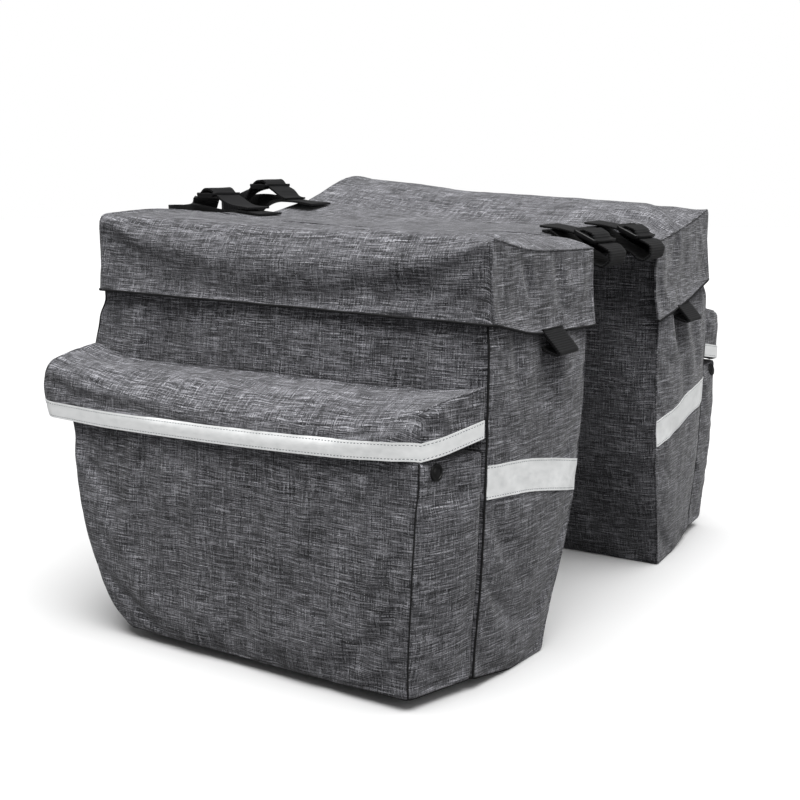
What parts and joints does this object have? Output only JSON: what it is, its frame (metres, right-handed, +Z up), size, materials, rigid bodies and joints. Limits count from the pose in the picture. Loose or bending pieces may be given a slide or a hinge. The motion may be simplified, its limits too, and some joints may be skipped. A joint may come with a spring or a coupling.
{
  "type": "double bicycle pannier bag",
  "caption": "Double cloth pannier: soft bags with box lids, flap pockets and reflective tape, joined by a cloth bridge with carrier straps.",
  "frame": {"origin": "on the floor under the middle of the whole double bag, where its two bottoms stand", "axes": "+X to the rear of the bicycle, +Y to the far bag, +Z up"},
  "size_m": [0.4442, 0.532, 0.3424],
  "materials": {
    "cloth": "matte melange weave",
    "webbing": "ribbed woven webbing",
    "tape": "satin retroreflective tape",
    "plastic": "fine matte"
  },
  "bodies": {
    "root": {"bag_near": "cloth", "pocket_near": "cloth", "flap_near": "cloth", "flap_tape_near": "tape", "side_tape_near": "tape", "lid_near": "cloth", "loop_near": "webbing", "snap_near": "plastic", "front_strap_near": "webbing", "buckle_front_strap_near": "plastic", "rear_strap_near": "webbing", "buckle_rear_strap_near": "plastic", "bag_far": "cloth", "pocket_far": "cloth", "flap_far": "cloth", "flap_tape_far": "tape", "side_tape_far": "tape", "lid_far": "cloth", "loop_far": "webbing", "snap_far": "plastic", "front_strap_far": "webbing", "buckle_front_strap_far": "plastic", "rear_strap_far": "webbing", "buckle_rear_strap_far": "plastic", "bridge": "cloth"}
  },
  "joints": []
}
